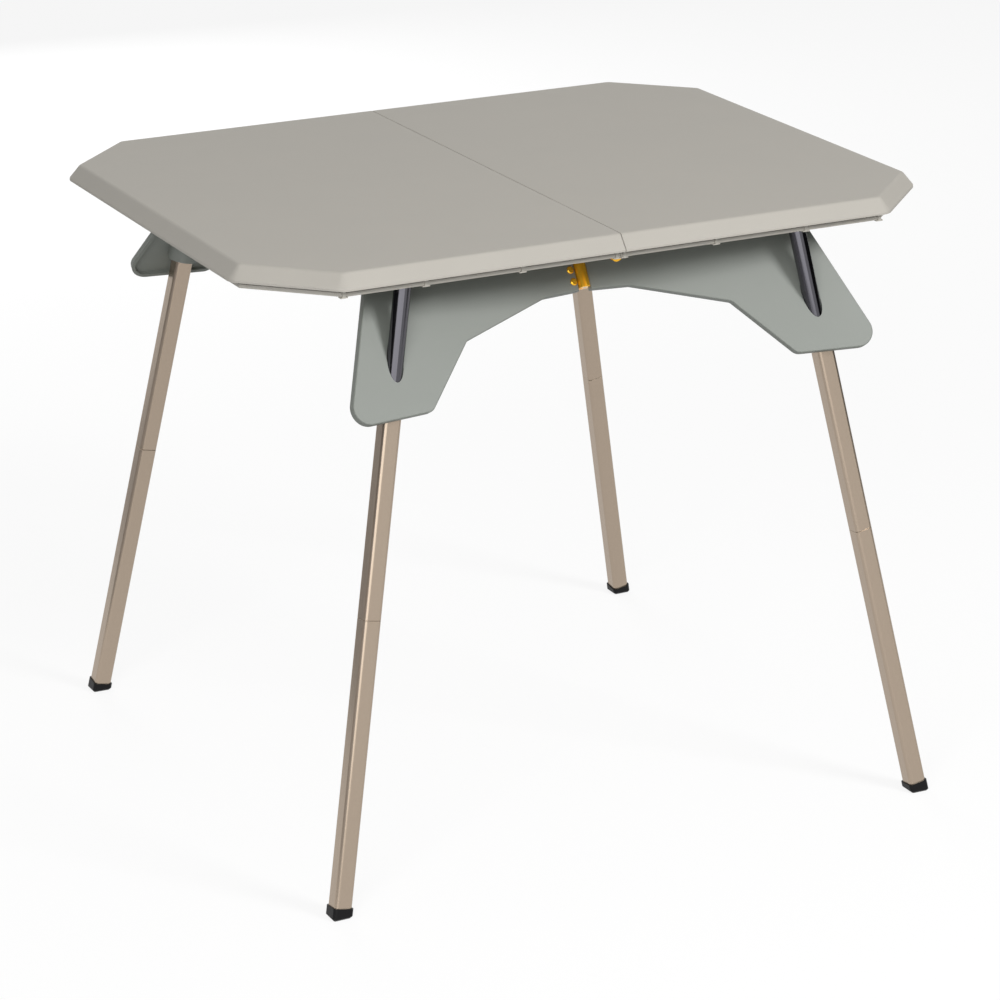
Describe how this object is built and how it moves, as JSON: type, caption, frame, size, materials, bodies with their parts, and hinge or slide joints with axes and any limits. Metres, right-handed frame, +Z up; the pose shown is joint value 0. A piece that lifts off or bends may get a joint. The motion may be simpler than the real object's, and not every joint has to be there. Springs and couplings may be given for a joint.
{
  "type": "camping table",
  "caption": "Folding camping table with a moulded grey top hinged across the middle, slanted braces and splayed square aluminium legs that plug in and come apart half way down.",
  "frame": {"origin": "on the floor under the middle of the table top", "axes": "X along the long sides, Y from the front long side to the rear one, Z up"},
  "size_m": [0.804, 0.721, 0.6745],
  "materials": {
    "panel_grey": "fine grained warm grey moulding",
    "frame_grey": "light grey moulding",
    "brace_grey": "fine grained grey-green moulding",
    "leg_champagne": "satin champagne anodised",
    "bar_steel": "polished dark steel",
    "bush_black": "smooth black plastic",
    "spigot_grey": "plain extruded aluminium",
    "foot_rubber": "black rubber",
    "gold_anodised": "polished orange gold anodised",
    "pin_steel": "plain steel"
  },
  "bodies": {
    "table": {"right_top_panel": "panel_grey", "right_under_frame": "frame_grey", "left_top_panel": "panel_grey", "left_under_frame": "frame_grey", "front_seam_hinge_right_leaf": "gold_anodised", "front_seam_hinge_left_leaf": "gold_anodised", "rear_seam_hinge_right_leaf": "gold_anodised", "rear_seam_hinge_left_leaf": "gold_anodised", "seam_hinge_pins": "pin_steel", "seam_hinge_screws": "pin_steel", "front_right_brace": "brace_grey", "front_right_brace_hinge_leaf": "gold_anodised", "front_left_brace": "brace_grey", "front_left_brace_hinge_leaf": "gold_anodised", "rear_right_brace": "brace_grey", "rear_right_brace_hinge_leaf": "gold_anodised", "rear_left_brace": "brace_grey", "rear_left_brace_hinge_leaf": "gold_anodised", "brace_hinge_rivets": "gold_anodised", "brace_centre_pins": "pin_steel", "brace_hinge_pins": "pin_steel"},
    "front_right_leg": {"front_right_head_bar": "bar_steel", "front_right_head_bush": "bush_black", "front_right_upper_tube": "leg_champagne"},
    "front_right_lower_leg": {"front_right_lower_tube": "leg_champagne", "front_right_leg_spigot": "spigot_grey", "front_right_foot": "foot_rubber"},
    "front_left_leg": {"front_left_head_bar": "bar_steel", "front_left_head_bush": "bush_black", "front_left_upper_tube": "leg_champagne"},
    "front_left_lower_leg": {"front_left_lower_tube": "leg_champagne", "front_left_leg_spigot": "spigot_grey", "front_left_foot": "foot_rubber"},
    "rear_right_leg": {"rear_right_head_bar": "bar_steel", "rear_right_head_bush": "bush_black", "rear_right_upper_tube": "leg_champagne"},
    "rear_right_lower_leg": {"rear_right_lower_tube": "leg_champagne", "rear_right_leg_spigot": "spigot_grey", "rear_right_foot": "foot_rubber"},
    "rear_left_leg": {"rear_left_head_bar": "bar_steel", "rear_left_head_bush": "bush_black", "rear_left_upper_tube": "leg_champagne"},
    "rear_left_lower_leg": {"rear_left_lower_tube": "leg_champagne", "rear_left_leg_spigot": "spigot_grey", "rear_left_foot": "foot_rubber"}
  },
  "joints": [
    {"name": "front_right_leg_draw", "type": "slide", "parent": "table", "child": "front_right_leg", "axis": [0.1843, -0.12, -0.9755], "range_m": [0, 0.15]},
    {"name": "front_right_lower_leg_pull", "type": "slide", "parent": "front_right_leg", "child": "front_right_lower_leg", "axis": [0.1843, -0.12, -0.9755], "range_m": [0, 0.05]},
    {"name": "front_left_leg_draw", "type": "slide", "parent": "table", "child": "front_left_leg", "axis": [-0.1843, -0.12, -0.9755], "range_m": [0, 0.15]},
    {"name": "front_left_lower_leg_pull", "type": "slide", "parent": "front_left_leg", "child": "front_left_lower_leg", "axis": [-0.1843, -0.12, -0.9755], "range_m": [0, 0.05]},
    {"name": "rear_right_leg_draw", "type": "slide", "parent": "table", "child": "rear_right_leg", "axis": [0.1843, 0.12, -0.9755], "range_m": [0, 0.15]},
    {"name": "rear_right_lower_leg_pull", "type": "slide", "parent": "rear_right_leg", "child": "rear_right_lower_leg", "axis": [0.1843, 0.12, -0.9755], "range_m": [0, 0.05]},
    {"name": "rear_left_leg_draw", "type": "slide", "parent": "table", "child": "rear_left_leg", "axis": [-0.1843, 0.12, -0.9755], "range_m": [0, 0.15]},
    {"name": "rear_left_lower_leg_pull", "type": "slide", "parent": "rear_left_leg", "child": "rear_left_lower_leg", "axis": [-0.1843, 0.12, -0.9755], "range_m": [0, 0.05]}
  ]
}
